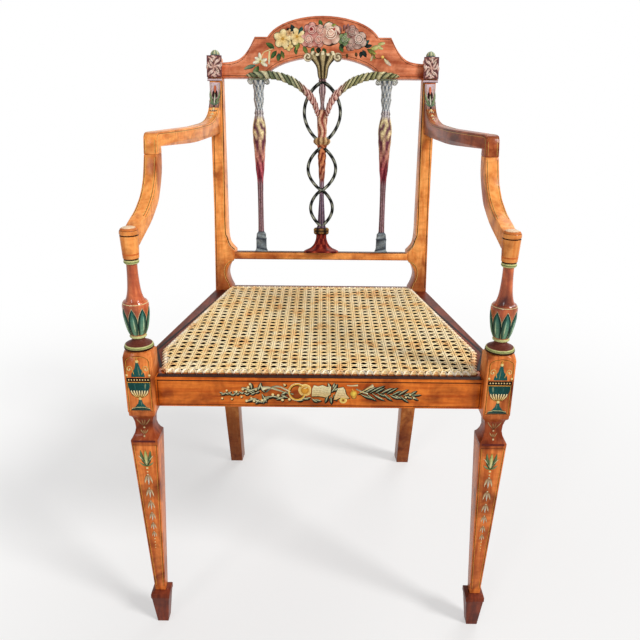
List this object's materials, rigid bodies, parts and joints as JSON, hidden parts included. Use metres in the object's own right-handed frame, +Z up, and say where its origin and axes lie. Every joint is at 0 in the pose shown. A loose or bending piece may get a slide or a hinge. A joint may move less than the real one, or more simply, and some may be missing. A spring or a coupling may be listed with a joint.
{
  "type": "open armchair",
  "caption": "Painted wooden open armchair with a caned seat, square tapered front legs on spade feet, an arched crest rail and a back of three carved splats.",
  "frame": {"origin": "on the floor, under the middle of the chair's bounding box", "axes": "+Z up, +X towards the chair's right side as seen from the front, +Y towards the back; the sitter faces -Y"},
  "size_m": [0.5354, 0.5162, 0.9235],
  "materials": {
    "satinwood": "polished",
    "dark_satinwood": "polished",
    "green_paint": "satin",
    "rose_paint": "satin",
    "grey_green_paint": "satin",
    "dark_foot": "polished",
    "cane": "matt",
    "beech": "unfinished",
    "steel": "bright"
  },
  "bodies": {
    "root": {"front_leg_left": "satinwood", "front_leg_right": "satinwood", "spade_foot_left": "dark_foot", "spade_foot_right": "dark_foot", "baluster_left": "satinwood", "baluster_right": "satinwood", "arm_support_left": "satinwood", "arm_support_right": "satinwood", "armrest_left": "satinwood", "armrest_right": "satinwood", "elbow_dowel_left": "beech", "elbow_dowel_right": "beech", "finial_left": "green_paint", "finial_right": "green_paint", "side_splat_left": "grey_green_paint", "side_splat_right": "grey_green_paint", "plume_left": "green_paint", "plume_right": "green_paint", "arm_screw_left": "steel", "arm_screw_right": "steel", "back_post_left": "satinwood", "back_post_right": "satinwood", "side_rail_left": "dark_satinwood", "side_rail_right": "dark_satinwood", "corner_block_front_left": "beech", "corner_block_front_right": "beech", "corner_block_rear_left": "beech", "corner_block_rear_right": "beech", "corner_screw_front_left": "steel", "corner_screw_front_right": "steel", "corner_screw_rear_left": "steel", "corner_screw_rear_right": "steel", "crest_rail": "dark_satinwood", "shoe_rail": "satinwood", "centre_splat": "rose_paint", "front_rail": "satinwood", "rear_rail": "dark_satinwood", "cane_seat": "cane"}
  },
  "joints": []
}
